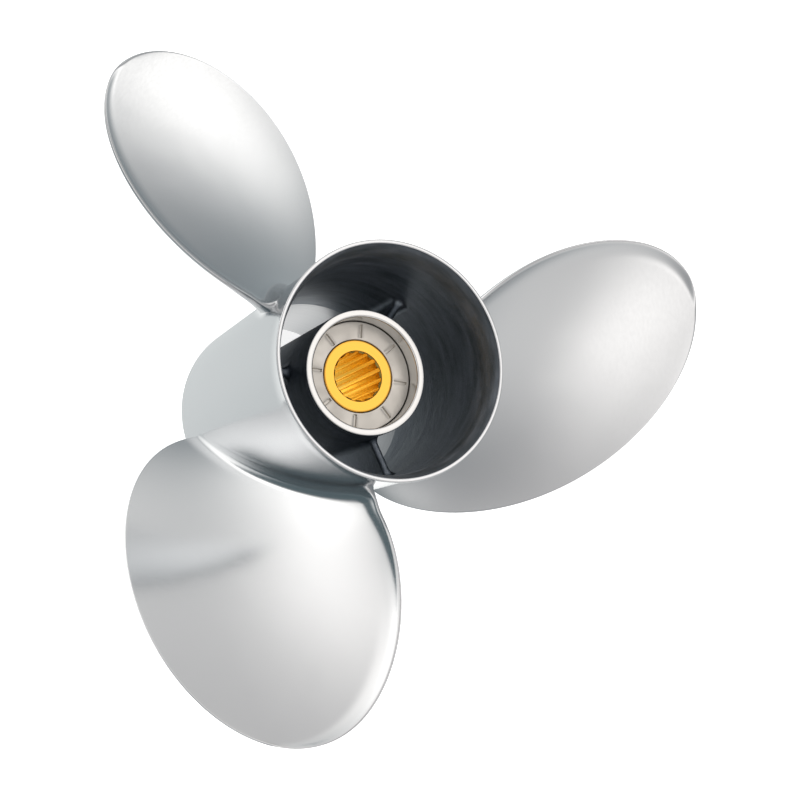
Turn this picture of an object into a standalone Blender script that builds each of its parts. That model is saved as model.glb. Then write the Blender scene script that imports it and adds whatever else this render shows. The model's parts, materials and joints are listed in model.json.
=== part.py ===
"""A three-blade outboard propeller with a through-hub exhaust.

Row frame: metres, +Z along the shaft axis towards the rear, where the exhaust leaves,
and z = 0 in the plane of the barrel's front end. The blades are right-handed.
Angles run anticlockwise as seen from the rear, with blade_1's root at zero.
"""
import math

import bmesh
import bpy
import numpy as np
from mathutils import Matrix

# Driving dimensions
DIAMETER = 0.381            # 15 inches over the blade tips
PITCH = 0.519               # advance of the blade face in one turn
LENGTH = 0.1634             # barrel, front end to rear rim
BLADES = 3
SEAT_GAP = 0.0003           # left between pieces that touch

# Barrel: a tapering tube that flares at the rear
FRONT_RADIUS = 0.0533
FRONT_BORE = 0.0497
TAIL_RADIUS = 0.0579        # at the start of the flare
TAIL_BORE = 0.0542
RIM_RADIUS = 0.0600
RIM_BORE = 0.0580
FLARE_LENGTH = 0.0144
EDGE_CHAMFER = 0.0005
BARREL_STEPS = 72

# Inner hub: a tube with a thrust lip in front and an open recess behind
HUB_FRONT = 0.012
HUB_REAR = 0.1307
HUB_FRONT_RADIUS = 0.0310
HUB_REAR_RADIUS = 0.0319
HUB_BORE = 0.0282
HUB_LIP_BORE = 0.0215
HUB_LIP_LENGTH = 0.008
HUB_REAR_CHAMFER = 0.0010
HUB_STEPS = 60

# Webs: flat radial ribs half way between the blades
WEB_THICKNESS = 0.004
WEB_FRONT = 0.016
WEB_REAR = 0.1068

# Splined drive sleeve, its rubber bushing and the slotted ring behind the rubber
SLEEVE_FRONT = 0.009
SLEEVE_REAR = 0.1206
SLEEVE_RADIUS = 0.0184
SPLINE_TEETH = 15
SPLINE_MAJOR = 0.0127       # one inch across the roots of the splines
SPLINE_MINOR = 0.0115
RING_RADIUS = 0.0275
RING_DEPTH = 0.0090
RING_SLOTS = 8
RING_SLOT_WIDTH = 0.0015
RING_SLOT_DEPTH = 0.0012
RING_SLOT_END = 0.0011      # land left between a slot's ends and the ring's edges
BUSHING_STEPS = 48

# Blade: mid-chord line, chord, thickness and root
BLADE_MID_Z = 0.0749        # mid-chord at the datum radius, above the front end
DATUM_RADIUS = 0.058
SKEW = 17.2                 # degrees from the datum radius to the tip
RAKE = 0.27                 # slope towards the rear
RAKE_CURL = 0.48            # growth of the rake, per metre of span
HALF_CHORD = 0.0648         # widest half chord, measured round the shaft
WIDEST_RADIUS = 0.1232
INNER_CHORD_SPAN = 0.0993   # where the inner parabola of the chord would reach nothing
ROOT_THICKNESS = 0.0130
TIP_THICKNESS = 0.0026
LEADING_EDGE = 0.0013
TRAILING_EDGE = 0.0026
FACE_SHARE = 0.2            # part of the thickness that stands on the pressure face
CUP_HEIGHT = 0.0024         # curl of the trailing edge towards the rear
CUP_WIDTH = 0.012
CUP_CURL = 2.5              # power of the distance with which the curl grows
FILLET_ON_FACE = 0.0085     # root fillet's radius on the face, at the trailing edge
FILLET_ON_BACK = 0.0050     # on the back, at mid-chord
FILLET_LEAST = 0.0012       # where it runs out at the edges
FILLET_ROUNDING = 0.15      # share of the fillet that rounds the foot's two ends
TAIL_SPREAD = 0.0045        # how much further back the trailing edge reaches at its foot
TAIL_SPREAD_HEIGHT = 0.014
FILLET_STEPS = 5
INNER_SECTIONS = 4
OUTER_SECTIONS = 8
CHORD_STEPS = 16
EDGE_STEPS = 6
FOOT_FADE = 0.030           # span over which a section turns from the cone to a cylinder

COLLECTION = "boat_propeller"
CUTTERS = "cutters"


def clear_scene():
    for item in list(bpy.data.objects):
        bpy.data.objects.remove(item, do_unlink=True)


def new_collection(name):
    collection = bpy.data.collections.new(name)
    bpy.context.scene.collection.children.link(collection)
    return collection


def material(name, colour, metallic, roughness):
    finish = bpy.data.materials.new(name)
    finish.use_nodes = True
    shader = finish.node_tree.nodes["Principled BSDF"]
    shader.inputs["Base Color"].default_value = (*colour, 1.0)
    shader.inputs["Metallic"].default_value = metallic
    shader.inputs["Roughness"].default_value = roughness
    finish.diffuse_color = (*colour, 1.0)
    return finish


def add_object(name, mesh, collection, finish):
    item = bpy.data.objects.new(name, mesh)
    mesh.materials.append(finish)
    collection.objects.link(item)
    return item


def barrel_outer(z):
    """Outer radius of the barrel: a straight taper, plus a parabola along the flare."""
    flare_start = LENGTH - FLARE_LENGTH
    slope = (TAIL_RADIUS - FRONT_RADIUS) / flare_start
    along = np.clip((z - flare_start) / FLARE_LENGTH, 0.0, 1.0)
    return FRONT_RADIUS + slope * z + (RIM_RADIUS - FRONT_RADIUS - slope * LENGTH) * along ** 2


def barrel_inner(z):
    """Inner radius of the barrel, built as its outer radius is."""
    flare_start = LENGTH - FLARE_LENGTH
    slope = (TAIL_BORE - FRONT_BORE) / flare_start
    along = np.clip((z - flare_start) / FLARE_LENGTH, 0.0, 1.0)
    return FRONT_BORE + slope * z + (RIM_BORE - FRONT_BORE - slope * LENGTH) * along ** 2


def hub_outer(z):
    """Outer radius of the inner hub: a straight taper between its two ends."""
    return np.interp(z, (HUB_FRONT, HUB_REAR), (HUB_FRONT_RADIUS, HUB_REAR_RADIUS))


def turned(name, profile, steps, collection, finish):
    """Turn a closed profile of (radius, z), which starts down its outer side, about Z."""
    mesh = bpy.data.meshes.new(name)
    points = [(radius, 0.0, z) for radius, z in profile]
    edges = [(index, (index + 1) % len(points)) for index in range(len(points))]
    mesh.from_pydata(points, edges, [])
    item = add_object(name, mesh, collection, finish)
    screw = item.modifiers.new("turn", "SCREW")
    screw.axis = "Z"
    screw.steps = steps
    screw.render_steps = steps
    screw.use_merge_vertices = True
    screw.merge_threshold = 0.00001
    return item


def make_barrel(collection, finish):
    flare = np.linspace(LENGTH - EDGE_CHAMFER, LENGTH - FLARE_LENGTH, 6)
    outer = [(float(barrel_outer(z)), float(z)) for z in flare]
    inner = [(float(barrel_inner(z)), float(z)) for z in flare[::-1]]
    profile = [(RIM_RADIUS - EDGE_CHAMFER, LENGTH)]
    profile += outer
    profile += [(FRONT_RADIUS, EDGE_CHAMFER), (FRONT_RADIUS - EDGE_CHAMFER, 0.0)]
    profile += [(FRONT_BORE + EDGE_CHAMFER, 0.0), (FRONT_BORE, EDGE_CHAMFER)]
    profile += inner
    profile += [(RIM_BORE + EDGE_CHAMFER, LENGTH)]
    return turned("barrel", profile, BARREL_STEPS, collection, finish)


def make_inner_hub(collection, finish):
    lip_end = HUB_FRONT + HUB_LIP_LENGTH
    profile = [
        (HUB_REAR_RADIUS - EDGE_CHAMFER, HUB_REAR),
        (HUB_REAR_RADIUS, HUB_REAR - EDGE_CHAMFER),
        (HUB_FRONT_RADIUS, HUB_FRONT + EDGE_CHAMFER),
        (HUB_FRONT_RADIUS - EDGE_CHAMFER, HUB_FRONT),
        (HUB_LIP_BORE + EDGE_CHAMFER, HUB_FRONT),
        (HUB_LIP_BORE, HUB_FRONT + EDGE_CHAMFER),
        (HUB_LIP_BORE, lip_end),
        (HUB_BORE, lip_end),
        (HUB_BORE, HUB_REAR - HUB_REAR_CHAMFER),
        (HUB_BORE + HUB_REAR_CHAMFER, HUB_REAR),
    ]
    return turned("inner_hub", profile, HUB_STEPS, collection, finish)


def make_web(number, collection, finish):
    """A flat rib from the inner hub to the barrel, with both tapers in its outline."""
    outline = [
        (hub_outer(WEB_REAR) + SEAT_GAP, WEB_REAR),
        (hub_outer(WEB_FRONT) + SEAT_GAP, WEB_FRONT),
        (barrel_inner(WEB_FRONT) - SEAT_GAP, WEB_FRONT),
        (barrel_inner(WEB_REAR) - SEAT_GAP, WEB_REAR),
    ]
    name = f"web_{number}"
    mesh = bpy.data.meshes.new(name)
    shape = bmesh.new()
    corners = [shape.verts.new((radius, -WEB_THICKNESS / 2, z)) for radius, z in outline]
    side = shape.faces.new(corners)
    pushed = bmesh.ops.extrude_face_region(shape, geom=[side])
    far_side = [item for item in pushed["geom"] if isinstance(item, bmesh.types.BMVert)]
    bmesh.ops.translate(shape, verts=far_side, vec=(0.0, WEB_THICKNESS, 0.0))
    bmesh.ops.recalc_face_normals(shape, faces=shape.faces)
    shape.to_mesh(mesh)
    shape.free()
    item = add_object(name, mesh, collection, finish)
    item.rotation_euler.z = math.tau * (number - 0.5) / BLADES
    return item


def make_rubber_bushing(collection, finish):
    rear = SLEEVE_REAR - RING_DEPTH - SEAT_GAP
    front = HUB_FRONT + HUB_LIP_LENGTH + SEAT_GAP
    outer = HUB_BORE - SEAT_GAP
    inner = SLEEVE_RADIUS + SEAT_GAP
    profile = [(outer, rear), (outer, front), (inner, front), (inner, rear)]
    return turned("rubber_bushing", profile, BUSHING_STEPS, collection, finish)


def make_slot_cutters(collection):
    """Eight bars along the radii, sunk into the rear face of the bushing ring.

    They stop short of its edges, so each slot is a pocket that is closed at both ends.
    """
    mesh = bpy.data.meshes.new("ring_slots")
    shape = bmesh.new()
    reach = RING_RADIUS - SLEEVE_RADIUS - SEAT_GAP - 2 * RING_SLOT_END
    middle = (RING_RADIUS + SLEEVE_RADIUS + SEAT_GAP) / 2
    for number in range(RING_SLOTS):
        angle = math.tau * number / RING_SLOTS
        turn = Matrix.Rotation(angle, 4, "Z")
        size = Matrix.Diagonal((reach, RING_SLOT_WIDTH, 2 * RING_SLOT_DEPTH, 1.0))
        place = turn @ Matrix.Translation((middle, 0.0, SLEEVE_REAR)) @ size
        bmesh.ops.create_cube(shape, size=1.0, matrix=place)
    shape.to_mesh(mesh)
    shape.free()
    cutter = bpy.data.objects.new("ring_slots", mesh)
    collection.objects.link(cutter)
    cutter.hide_render = True
    cutter.display_type = "WIRE"
    return cutter


def make_bushing_ring(collection, cutters, finish):
    front = SLEEVE_REAR - RING_DEPTH
    inner = SLEEVE_RADIUS + SEAT_GAP
    profile = [
        (RING_RADIUS - EDGE_CHAMFER, SLEEVE_REAR),
        (RING_RADIUS, SLEEVE_REAR - EDGE_CHAMFER),
        (RING_RADIUS, front),
        (inner, front),
        (inner, SLEEVE_REAR),
    ]
    ring = turned("bushing_ring", profile, BUSHING_STEPS, collection, finish)
    cut = ring.modifiers.new("slots", "BOOLEAN")
    cut.operation = "DIFFERENCE"
    cut.object = make_slot_cutters(cutters)
    return ring


def spline_outline():
    """Roots and crests of the internal splines as (radius, angle), four points a tooth."""
    pitch_angle = math.tau / SPLINE_TEETH
    shares = ((SPLINE_MAJOR, -0.27), (SPLINE_MAJOR, 0.27), (SPLINE_MINOR, 0.35), (SPLINE_MINOR, 0.65))
    points = []
    for tooth in range(SPLINE_TEETH):
        points += [(radius, pitch_angle * (tooth + share)) for radius, share in shares]
    return points


def add_ring_spline(curve, points):
    """Add one closed straight-sided loop of (radius, angle) points to a flat curve."""
    loop = curve.splines.new("POLY")
    loop.points.add(len(points) - 1)
    for place, (radius, angle) in zip(loop.points, points):
        place.co = (radius * math.cos(angle), radius * math.sin(angle), 0.0, 1.0)
    loop.use_cyclic_u = True


def make_drive_sleeve(collection, finish):
    """The splined bore and the round outside are two loops of one flat curve, extruded."""
    curve = bpy.data.curves.new("sleeve_section", "CURVE")
    curve.dimensions = "2D"
    curve.fill_mode = "BOTH"
    curve.extrude = (SLEEVE_REAR - SLEEVE_FRONT) / 2
    round_points = [(SLEEVE_RADIUS, math.tau * step / 60) for step in range(60)]
    add_ring_spline(curve, round_points)
    add_ring_spline(curve, spline_outline())
    drawn = bpy.data.objects.new("sleeve_section", curve)
    collection.objects.link(drawn)
    drawn.location.z = (SLEEVE_REAR + SLEEVE_FRONT) / 2
    bpy.context.view_layer.update()
    graph = bpy.context.evaluated_depsgraph_get()
    mesh = bpy.data.meshes.new_from_object(drawn.evaluated_get(graph))
    mesh.name = "drive_sleeve"
    mesh.materials.clear()
    shape = bmesh.new()
    shape.from_mesh(mesh)
    bmesh.ops.remove_doubles(shape, verts=shape.verts, dist=0.00001)
    bmesh.ops.recalc_face_normals(shape, faces=shape.faces)
    shape.to_mesh(mesh)
    shape.free()
    sleeve = add_object("drive_sleeve", mesh, collection, finish)
    sleeve.matrix_world = drawn.matrix_world
    bpy.data.objects.remove(drawn, do_unlink=True)
    return sleeve


def half_chord(radius):
    """Half the chord round the shaft: an ellipse outside the widest radius, a parabola inside."""
    outward = np.clip((radius - WIDEST_RADIUS) / (DIAMETER / 2 - WIDEST_RADIUS), 0.0, 1.0)
    inward = np.clip((WIDEST_RADIUS - radius) / INNER_CHORD_SPAN, 0.0, 1.0)
    return HALF_CHORD * np.sqrt(1.0 - outward ** 2) * (1.0 - inward ** 2)


def fillet_radius(share, side):
    """Radius of the root fillet at a place round the section.

    On the face it grows with the root of the way from the leading edge. On the back it
    swells as a half ellipse over the chord. Between them it is blended by the side.
    """
    on_face = FILLET_LEAST + (FILLET_ON_FACE - FILLET_LEAST) * np.sqrt((share + 1.0) / 2)
    on_back = FILLET_LEAST + (FILLET_ON_BACK - FILLET_LEAST) * np.sqrt(1.0 - share ** 2)
    return on_back + (on_face - on_back) * (side + 1.0) / 2


def section_loop():
    """One blade section as (chord share, side, round share) rows.

    Chord share runs from -1 at the leading edge to 1 at the trailing edge. Side is 1 on
    the face and -1 on the back, and in between on the rounded edges, where the third
    column says how far the edge has bulged past the last chord station.
    """
    chord = -np.cos(np.linspace(0.0, math.pi, CHORD_STEPS + 1))
    turn = math.pi * np.arange(1, EDGE_STEPS) / EDGE_STEPS
    edge = np.ones(EDGE_STEPS - 1)
    face = np.column_stack((chord, np.ones_like(chord), np.zeros_like(chord)))
    trailing = np.column_stack((edge, np.cos(turn), np.sin(turn)))
    back = np.column_stack((chord[::-1], -np.ones_like(chord), np.zeros_like(chord)))
    leading = np.column_stack((-edge, -np.cos(turn), np.sin(turn)))
    return np.vstack((face, trailing, back, leading))


def blade_points(share, side, bulge, height, fillet):
    """Map section points to x, y, z on blade_1, from each point's height over the barrel
    and the width that the root fillet adds there.

    A section is laid out along the helix of the pitch (u) and square to it (n), then
    wrapped round the shaft. Near the root the section follows the barrel's taper.
    """
    taper_share = 1.0 - np.clip((height - FILLET_ON_FACE) / FOOT_FADE, 0.0, 1.0)
    spread = TAIL_SPREAD * np.clip(1.0 - height / TAIL_SPREAD_HEIGHT, 0.0, 1.0) ** 1.5
    foot = float(barrel_outer(BLADE_MID_Z))
    radius = foot + height + 0.0 * share
    towards_tail = (share + 1.0) / 2
    for _ in range(6):
        span = radius - DATUM_RADIUS
        span_share = span / (DIAMETER / 2 - DATUM_RADIUS)
        skew = math.radians(SKEW) * span_share
        helix = np.arctan2(PITCH, math.tau * radius)
        reach = half_chord(radius) / np.cos(helix)
        edge = LEADING_EDGE + (TRAILING_EDGE - LEADING_EDGE) * towards_tail
        full = ROOT_THICKNESS + (TIP_THICKNESS - ROOT_THICKNESS) * np.clip(span_share, 0.0, 1.0)
        belly = np.maximum(full - edge, 0.0) * (1.0 - share ** 2)
        thick = (edge + belly) / 2 + fillet
        rounding = edge / 2 + fillet * FILLET_ROUNDING
        u = share * (reach - rounding) + np.sign(share) * bulge * rounding + spread * towards_tail ** 3
        cup_start = 1.0 - CUP_WIDTH / np.maximum(reach, CUP_WIDTH)
        cup = CUP_HEIGHT * np.clip((share - cup_start) / (1.0 - cup_start), 0.0, 1.0) ** CUP_CURL
        cup = cup * np.clip(reach / (2 * CUP_WIDTH), 0.0, 1.0)
        n = side * thick - (0.5 - FACE_SHARE) * belly + cup
        angle = skew + (u * np.cos(helix) - n * np.sin(helix)) / radius
        z = BLADE_MID_Z + PITCH * skew / math.tau + RAKE * span + RAKE_CURL * span ** 2
        z = z + u * np.sin(helix) + n * np.cos(helix)
        radius = foot + height + taper_share * (barrel_outer(z) - foot)
    return np.column_stack((radius * np.cos(angle), radius * np.sin(angle), z))


def section_rows(share, side):
    """Heights over the barrel and fillet widths, one row of points for each section.

    The fillet's rows follow its arc, each point with its own radius. The rows above it
    spread to the widest radius, and those outside that close up towards the tip.
    """
    radius = fillet_radius(share, side)
    widest = WIDEST_RADIUS - float(barrel_outer(BLADE_MID_Z))
    arc = np.linspace(0.0, math.pi / 2, FILLET_STEPS + 1)[:, None]
    inner = np.linspace(0.0, 1.0, INNER_SECTIONS + 2)[1:-1, None]
    outer = np.linspace(0.0, math.pi / 2, OUTER_SECTIONS + 1)[:-1, None]
    low = SEAT_GAP + radius * (1.0 - np.cos(arc))
    middle = radius + (widest - radius) * inner
    high = widest + (DIAMETER / 2 - WIDEST_RADIUS) * np.sin(outer) + 0.0 * radius
    height = np.vstack((low, middle, high))
    fillet = np.zeros(height.shape)
    fillet[:FILLET_STEPS + 1] = radius * (1.0 - np.sin(arc))
    return zip(height, fillet)


def make_blade_mesh():
    """Loft the sections, close the tip with a fan and the root with strips on the barrel."""
    loop = section_loop()
    count = len(loop)
    share, side, bulge = loop.T
    sections = [blade_points(share, side, bulge, *row) for row in section_rows(share, side)]
    flat = np.zeros(1)
    tip = blade_points(flat, flat, flat, flat + DIAMETER / 2 - float(barrel_outer(BLADE_MID_Z)), flat)
    mesh = bpy.data.meshes.new("blade")
    shape = bmesh.new()
    rows = [[shape.verts.new(point) for point in section] for section in sections]
    for lower, upper in zip(rows, rows[1:]):
        for index in range(count):
            after = (index + 1) % count
            shape.faces.new((lower[index], lower[after], upper[after], upper[index]))
    point = shape.verts.new(tip[0])
    for index in range(count):
        shape.faces.new((rows[-1][index], rows[-1][(index + 1) % count], point))
    close_root(shape, rows[0], sections[0])
    bmesh.ops.recalc_face_normals(shape, faces=shape.faces)
    shape.to_mesh(mesh)
    shape.free()
    return mesh


def on_barrel(start, end, share):
    """A point between two points of the root, laid on the barrel with the seat gap."""
    first = math.atan2(start[1], start[0])
    angle = first + (math.atan2(end[1], end[0]) - first) * share
    z = start[2] + (end[2] - start[2]) * share
    radius = float(barrel_outer(z)) + SEAT_GAP
    return (radius * math.cos(angle), radius * math.sin(angle), z)


def close_root(shape, row, points):
    """Strips from face to back that follow the barrel's curve under the blade's foot."""
    stations = CHORD_STEPS + 1
    trailing = range(stations, stations + EDGE_STEPS - 1)
    leading = range(2 * stations + EDGE_STEPS - 1, len(row))
    strips = []
    for station in range(stations):
        back = 2 * stations + EDGE_STEPS - 2 - station
        if station == 0:
            inner = [row[index] for index in reversed(leading)]
        elif station == stations - 1:
            inner = [row[index] for index in trailing]
        else:
            shares = [step / EDGE_STEPS for step in range(1, EDGE_STEPS)]
            inner = [shape.verts.new(on_barrel(points[station], points[back], share)) for share in shares]
        strips.append([row[station], *inner, row[back]])
    for near, far in zip(strips, strips[1:]):
        for index in range(EDGE_STEPS):
            shape.faces.new((near[index], near[index + 1], far[index + 1], far[index]))


def make_blades(collection, finish):
    mesh = make_blade_mesh()
    mesh.materials.append(finish)
    for number in range(1, BLADES + 1):
        blade = bpy.data.objects.new(f"blade_{number}", mesh)
        collection.objects.link(blade)
        blade.rotation_euler.z = math.tau * (number - 1) / BLADES


def smooth_round_pieces(collection):
    """Shade the curved walls smooth and keep the edges crisp."""
    for item in collection.objects:
        item.data.shade_smooth()
        item.data.set_sharp_from_angle(angle=math.radians(35))


def main():
    clear_scene()
    parts = new_collection(COLLECTION)
    cutters = new_collection(CUTTERS)
    polished_steel = material("polished_stainless", (0.72, 0.72, 0.74), 1.0, 0.16)
    cast_steel = material("cast_stainless", (0.10, 0.10, 0.11), 1.0, 0.45)
    brass = material("machined_brass", (0.80, 0.55, 0.16), 1.0, 0.25)
    rubber = material("black_rubber", (0.02, 0.02, 0.02), 0.0, 0.70)
    zinc = material("die_cast_ring", (0.62, 0.61, 0.60), 0.8, 0.35)
    make_barrel(parts, polished_steel)
    make_inner_hub(parts, cast_steel)
    for number in range(1, BLADES + 1):
        make_web(number, parts, cast_steel)
    make_rubber_bushing(parts, rubber)
    make_bushing_ring(parts, cutters, zinc)
    make_drive_sleeve(parts, brass)
    make_blades(parts, polished_steel)
    smooth_round_pieces(parts)


main()
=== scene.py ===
# %% [markdown]
# # A polished boat propeller
#
# The object is an outboard propeller: three blades on a hollow barrel that the exhaust
# leaves through, and in the middle a tube with a rubber bushing and a splined brass sleeve.
# The CAD model gives every size and place. This lesson gives it its finish, and swaps the
# faceted solids for fine surfaces that are worked out with numpy.
#
# First comes the frame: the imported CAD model, and the box that it fills.

# %% Load the frame
import json
import math

import bmesh
import bpy
import numpy as np
from mathutils import Matrix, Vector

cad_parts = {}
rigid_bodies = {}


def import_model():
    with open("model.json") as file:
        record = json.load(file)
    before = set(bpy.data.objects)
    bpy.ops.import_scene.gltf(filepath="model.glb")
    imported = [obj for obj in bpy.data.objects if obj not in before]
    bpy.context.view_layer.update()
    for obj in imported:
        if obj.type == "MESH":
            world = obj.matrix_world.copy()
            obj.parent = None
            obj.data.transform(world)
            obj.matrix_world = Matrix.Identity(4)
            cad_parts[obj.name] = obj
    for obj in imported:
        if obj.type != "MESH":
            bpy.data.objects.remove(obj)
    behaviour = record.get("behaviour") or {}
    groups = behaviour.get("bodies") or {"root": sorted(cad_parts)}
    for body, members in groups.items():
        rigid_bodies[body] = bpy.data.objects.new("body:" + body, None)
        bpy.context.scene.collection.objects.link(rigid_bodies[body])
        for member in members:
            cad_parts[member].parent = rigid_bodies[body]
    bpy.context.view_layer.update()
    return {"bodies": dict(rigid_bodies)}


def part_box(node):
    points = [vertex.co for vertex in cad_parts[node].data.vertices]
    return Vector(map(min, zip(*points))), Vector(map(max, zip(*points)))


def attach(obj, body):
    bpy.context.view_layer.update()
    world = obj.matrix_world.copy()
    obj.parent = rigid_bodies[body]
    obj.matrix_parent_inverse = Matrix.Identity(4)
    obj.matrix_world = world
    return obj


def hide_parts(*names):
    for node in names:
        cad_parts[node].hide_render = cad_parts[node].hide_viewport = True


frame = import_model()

BODY = next(iter(frame["bodies"]))

# %% [markdown]
# ## Sizes
#
# What the frame can tell is read from it: a turned piece's box gives its radius and its two
# ends. The rest are the same driving dimensions that the CAD model was built from.

# %% Sizes from the frame
RIM_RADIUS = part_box("barrel")[1][0]
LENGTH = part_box("barrel")[1][2]
HUB_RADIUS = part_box("inner_hub")[1][0]
HUB_FRONT, HUB_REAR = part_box("inner_hub")[0][2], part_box("inner_hub")[1][2]
SLEEVE_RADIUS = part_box("drive_sleeve")[1][0]
SLEEVE_FRONT, SLEEVE_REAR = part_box("drive_sleeve")[0][2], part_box("drive_sleeve")[1][2]
RING_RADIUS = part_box("bushing_ring")[1][0]
RING_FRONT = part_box("bushing_ring")[0][2]
RUBBER_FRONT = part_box("rubber_bushing")[0][2]
WEB_FRONT, WEB_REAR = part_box("web_1")[0][2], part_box("web_1")[1][2]
MM = 0.001
print(f"rim {RIM_RADIUS / MM:.1f} mm, length {LENGTH / MM:.1f} mm, hub {HUB_RADIUS / MM:.1f} mm")

# %% Driving dimensions that no box shows
TIP_RADIUS = 0.1905          # 15 inches over the blade tips
PITCH = 0.519                # advance of the blade's face in one turn
BLADES = 3
FRONT_RADIUS, FRONT_BORE = 0.0533, 0.0497
TAIL_RADIUS, TAIL_BORE = 0.0579, 0.0542    # where the barrel's flare starts
RIM_BORE = 0.0580
FLARE_LENGTH = 0.0144
HUB_FRONT_RADIUS = 0.0310
HUB_BORE, HUB_LIP_BORE, HUB_LIP_LENGTH = 0.0282, 0.0215, 0.008
WEB_THICKNESS = 0.004
SPLINE_TEETH, SPLINE_MAJOR, SPLINE_MINOR = 15, 0.0127, 0.0115
RING_SLOTS, RING_SLOT_WIDTH, RING_SLOT_DEPTH, RING_SLOT_END = 8, 0.0015, 0.0012, 0.0011
SEAT_GAP = 0.0003            # left between pieces that touch
print(f"tips {2 * TIP_RADIUS / MM:.0f} mm across, pitch {PITCH / MM:.0f} mm")


# %% [markdown]
# ## From arrays to meshes
#
# Every new piece is a grid of points, rows by columns, that closes on itself round its
# columns. Its first and last rows may shrink to a line or a point, or the rows may close
# on each other as well, as in a ring. One helper turns such a grid into a mesh, merges the
# doubles at seams and poles, and checks with the signed volume that the faces point out.

# %% Grid to mesh
def signed_volume(points, quads):
    """Sum of the tetrahedra from the origin to each quad's two triangles."""
    a, b, c, d = (points[quads[:, corner]] for corner in range(4))
    return (np.einsum("ij,ij->i", a, np.cross(b, c)) + np.einsum("ij,ij->i", a, np.cross(c, d))).sum() / 6


def grid_mesh(name, grid, ring):
    """A closed mesh from a grid of points (rows, columns, 3) that wraps round its columns,
    and in a ring round its rows as well."""
    rows, columns = grid.shape[:2]
    index = np.arange(rows * columns).reshape(rows, columns)
    upper = np.roll(index, -1, axis=0) if ring else index[1:]
    lower = index if ring else index[:-1]
    quads = np.stack((lower, np.roll(lower, -1, axis=1), np.roll(upper, -1, axis=1), upper), axis=-1)
    quads = quads.reshape(-1, 4)
    points = grid.reshape(-1, 3)
    if signed_volume(points, quads) < 0:
        quads = quads[:, ::-1]
    mesh = bpy.data.meshes.new(name)
    mesh.from_pydata(points.tolist(), [], quads.tolist())
    return mesh


def merge_doubles(mesh, distance=2e-6):
    """Close seams and poles by merging the points that lie on each other."""
    shape = bmesh.new()
    shape.from_mesh(mesh)
    bmesh.ops.remove_doubles(shape, verts=shape.verts, dist=distance)
    bmesh.ops.dissolve_degenerate(shape, edges=shape.edges, dist=distance)
    shape.to_mesh(mesh)
    shape.free()


def add_piece(name, grid, nodes, ring=True, sharp_angle=40.0):
    """Make a grid a piece of the scene that rides on the body and stands for CAD nodes."""
    mesh = grid_mesh(name, grid, ring)
    merge_doubles(mesh)
    mesh.shade_smooth()
    mesh.set_sharp_from_angle(angle=math.radians(sharp_angle))
    piece = bpy.data.objects.new(name, mesh)
    bpy.context.scene.collection.objects.link(piece)
    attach(piece, BODY)
    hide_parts(*nodes)
    print(f"{name}: {len(mesh.vertices)} points")
    return piece


def revolve(profile, steps):
    """A closed profile of (radius, z) rows turned about Z: every point at every angle."""
    angle = np.linspace(0, math.tau, steps, endpoint=False)
    radius, z = profile[:, :1], profile[:, 1:]
    return np.stack((radius * np.cos(angle), radius * np.sin(angle), z + 0 * angle), axis=-1)


def rounded(profile, reach, steps=5):
    """Round each corner of a closed profile with a parabola that starts `reach` before it:
    (1 - s)^2 start + 2 s (1 - s) corner + s^2 end, with s from 0 to 1."""
    previous, following = np.roll(profile, 1, axis=0), np.roll(profile, -1, axis=0)
    out = []
    for before, corner, after, size in zip(previous, profile, following, reach):
        if size == 0:
            out.append(corner[None])
            continue
        start = corner + (before - corner) * size / np.linalg.norm(before - corner)
        end = corner + (after - corner) * size / np.linalg.norm(after - corner)
        share = np.linspace(0, 1, steps)[:, None]
        out.append((1 - share) ** 2 * start + 2 * share * (1 - share) * corner + share ** 2 * end)
    return np.vstack(out)


# %% [markdown]
# ## The barrel
#
# The barrel is a straight taper with a flare at the rear, and its inside runs parallel to
# its outside. The rim and the front end are rounded over by the polishing wheel. It could be
# a Screw modifier, but a profile in numpy lets the blades ask for the barrel's radius.

# %% Barrel profile
def tapered(z, front, tail, rim):
    """Straight from front to tail radius, plus a parabola along the flare up to the rim."""
    slope = (tail - front) / (LENGTH - FLARE_LENGTH)
    along = np.clip((z - LENGTH + FLARE_LENGTH) / FLARE_LENGTH, 0, 1)
    return front + slope * z + (rim - front - slope * LENGTH) * along ** 2


def barrel_outer(z):
    return tapered(z, FRONT_RADIUS, TAIL_RADIUS, RIM_RADIUS)


def barrel_inner(z):
    return tapered(z, FRONT_BORE, TAIL_BORE, RIM_BORE)


END_ROUNDING = 0.0008        # the rounding starts this far from each end
END_SQUARENESS = 0.45        # power of the rounding's sine and cosine: 1 would be an ellipse
RIM_SQUARENESS = 0.7


def barrel_profile(wall_steps=90, end_steps=12, crowding=1.6):
    """Down the outside, round the front end, up the inside and round the rim.

    The wall's steps crowd towards the rear, where the flare bends it.
    """
    share = np.linspace(0, 1, wall_steps) ** crowding
    z = LENGTH - END_ROUNDING - (LENGTH - 2 * END_ROUNDING) * share
    outer = np.column_stack((barrel_outer(z), z))
    inner = np.column_stack((barrel_inner(z), z))[::-1]
    turn = np.linspace(0, math.pi, end_steps)[1:-1]
    front_mid, front_half = (outer[-1, 0] + inner[0, 0]) / 2, (outer[-1, 0] - inner[0, 0]) / 2
    rim_mid, rim_half = (outer[0, 0] + inner[-1, 0]) / 2, (outer[0, 0] - inner[-1, 0]) / 2
    across = np.sign(np.cos(turn)) * np.abs(np.cos(turn)) ** END_SQUARENESS
    front = np.column_stack((front_mid + front_half * across, z[-1] * (1 - np.sin(turn) ** END_SQUARENESS)))
    rim_rise = (LENGTH - z[0]) * np.sin(turn) ** RIM_SQUARENESS
    rim = np.column_stack((rim_mid - rim_half * across, z[0] + rim_rise))
    return np.vstack((outer, front, inner, rim))


barrel = add_piece("barrel_skin", revolve(barrel_profile(), steps=256), ["barrel"])

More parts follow.
